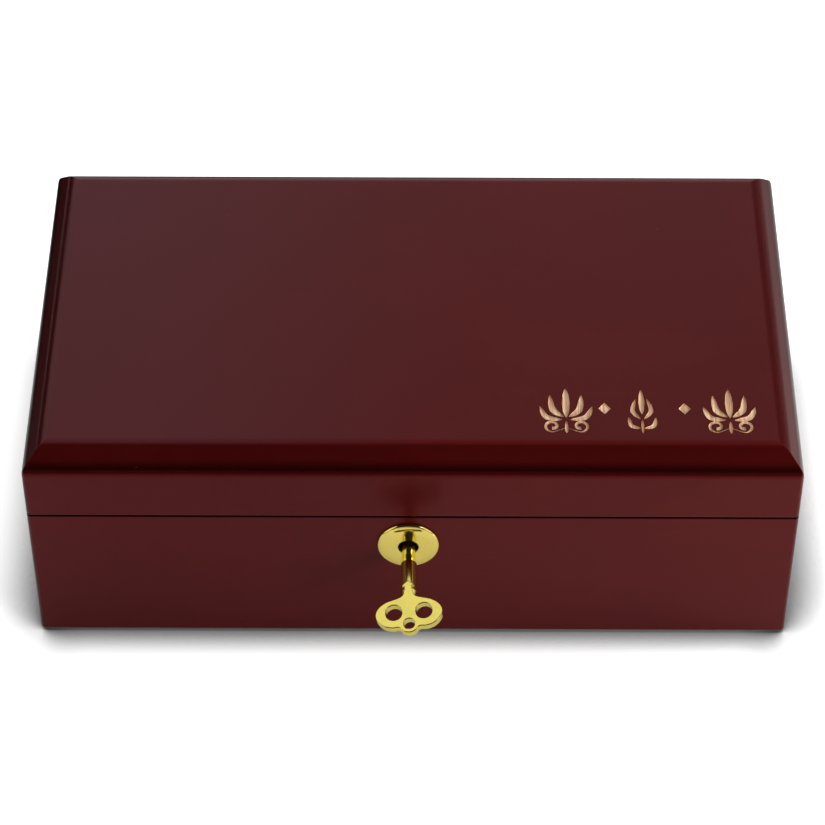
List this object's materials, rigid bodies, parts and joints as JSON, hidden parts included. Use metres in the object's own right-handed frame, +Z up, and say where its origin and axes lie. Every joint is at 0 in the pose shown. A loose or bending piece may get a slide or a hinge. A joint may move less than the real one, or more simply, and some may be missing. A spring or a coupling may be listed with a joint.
{
  "type": "keepsake box",
  "caption": "Rectangular lacquered wooden keepsake box with a bevelled hinged lid, a round gilt keyhole plate and a barrel key in its spring-bolt lock.",
  "frame": {"origin": "middle of the felt underside, on the surface that the box stands on", "axes": "+X to the right along the box, +Y from the front (keyhole side) to the back (hinges), +Z up"},
  "size_m": [0.2552, 0.1819, 0.0869],
  "materials": {
    "lacquered_wood": "dark red-brown semi-gloss lacquer",
    "plain_board": "bare thin board",
    "gilt": "polished gold plate",
    "brass": "lacquered brass",
    "spring_steel": "tempered strip",
    "velvet": "short-pile velvet",
    "felt": "pressed felt"
  },
  "bodies": {
    "box": {"back_board": "lacquered_wood", "base_panel": "plain_board", "bolt_spring": "spring_steel", "drill_pin": "brass", "escutcheon": "gilt", "felt_base": "felt", "floor_pad": "velvet", "front_board": "lacquered_wood", "hinge_body_screws": "brass", "hinge_left_body_leaf": "brass", "hinge_left_pin": "brass", "hinge_right_body_leaf": "brass", "hinge_right_pin": "brass", "left_board": "lacquered_wood", "lining_back": "velvet", "lining_front": "velvet", "lining_left": "velvet", "lining_right": "velvet", "lock_case": "brass", "lock_cover": "brass", "lock_screws": "brass", "right_board": "lacquered_wood"},
    "lid": {"hinge_left_lid_leaf": "brass", "hinge_lid_screws": "brass", "hinge_right_lid_leaf": "brass", "lid_back_rail": "lacquered_wood", "lid_front_rail": "lacquered_wood", "lid_left_rail": "lacquered_wood", "lid_pad": "velvet", "lid_right_rail": "lacquered_wood", "lid_top_panel": "lacquered_wood", "strike_plate": "brass", "strike_screws": "brass"},
    "key": {"key": "gilt"},
    "bolt": {"lock_bolt": "brass"}
  },
  "joints": [
    {"name": "lid_hinge", "type": "hinge", "parent": "box", "child": "lid", "pos_m": [0, 0.07405, 0.0588], "axis": [-1, 0, 0], "range_deg": [0, 95]},
    {"name": "key_turn", "type": "hinge", "parent": "box", "child": "key", "pos_m": [-0.00145, -0.06705, 0.0454], "axis": [-0.019, 0.9875, 0.1564], "range_deg": [-82, 0]},
    {"name": "bolt_slide", "type": "slide", "parent": "box", "child": "bolt", "axis": [1, 0, 0], "range_m": [0, 0.0037], "deforming": ["bolt_spring"]}
  ],
  "couplings": [
    {"joint": "bolt_slide", "follows": "key_turn", "m_per_rad": -0.002585}
  ]
}
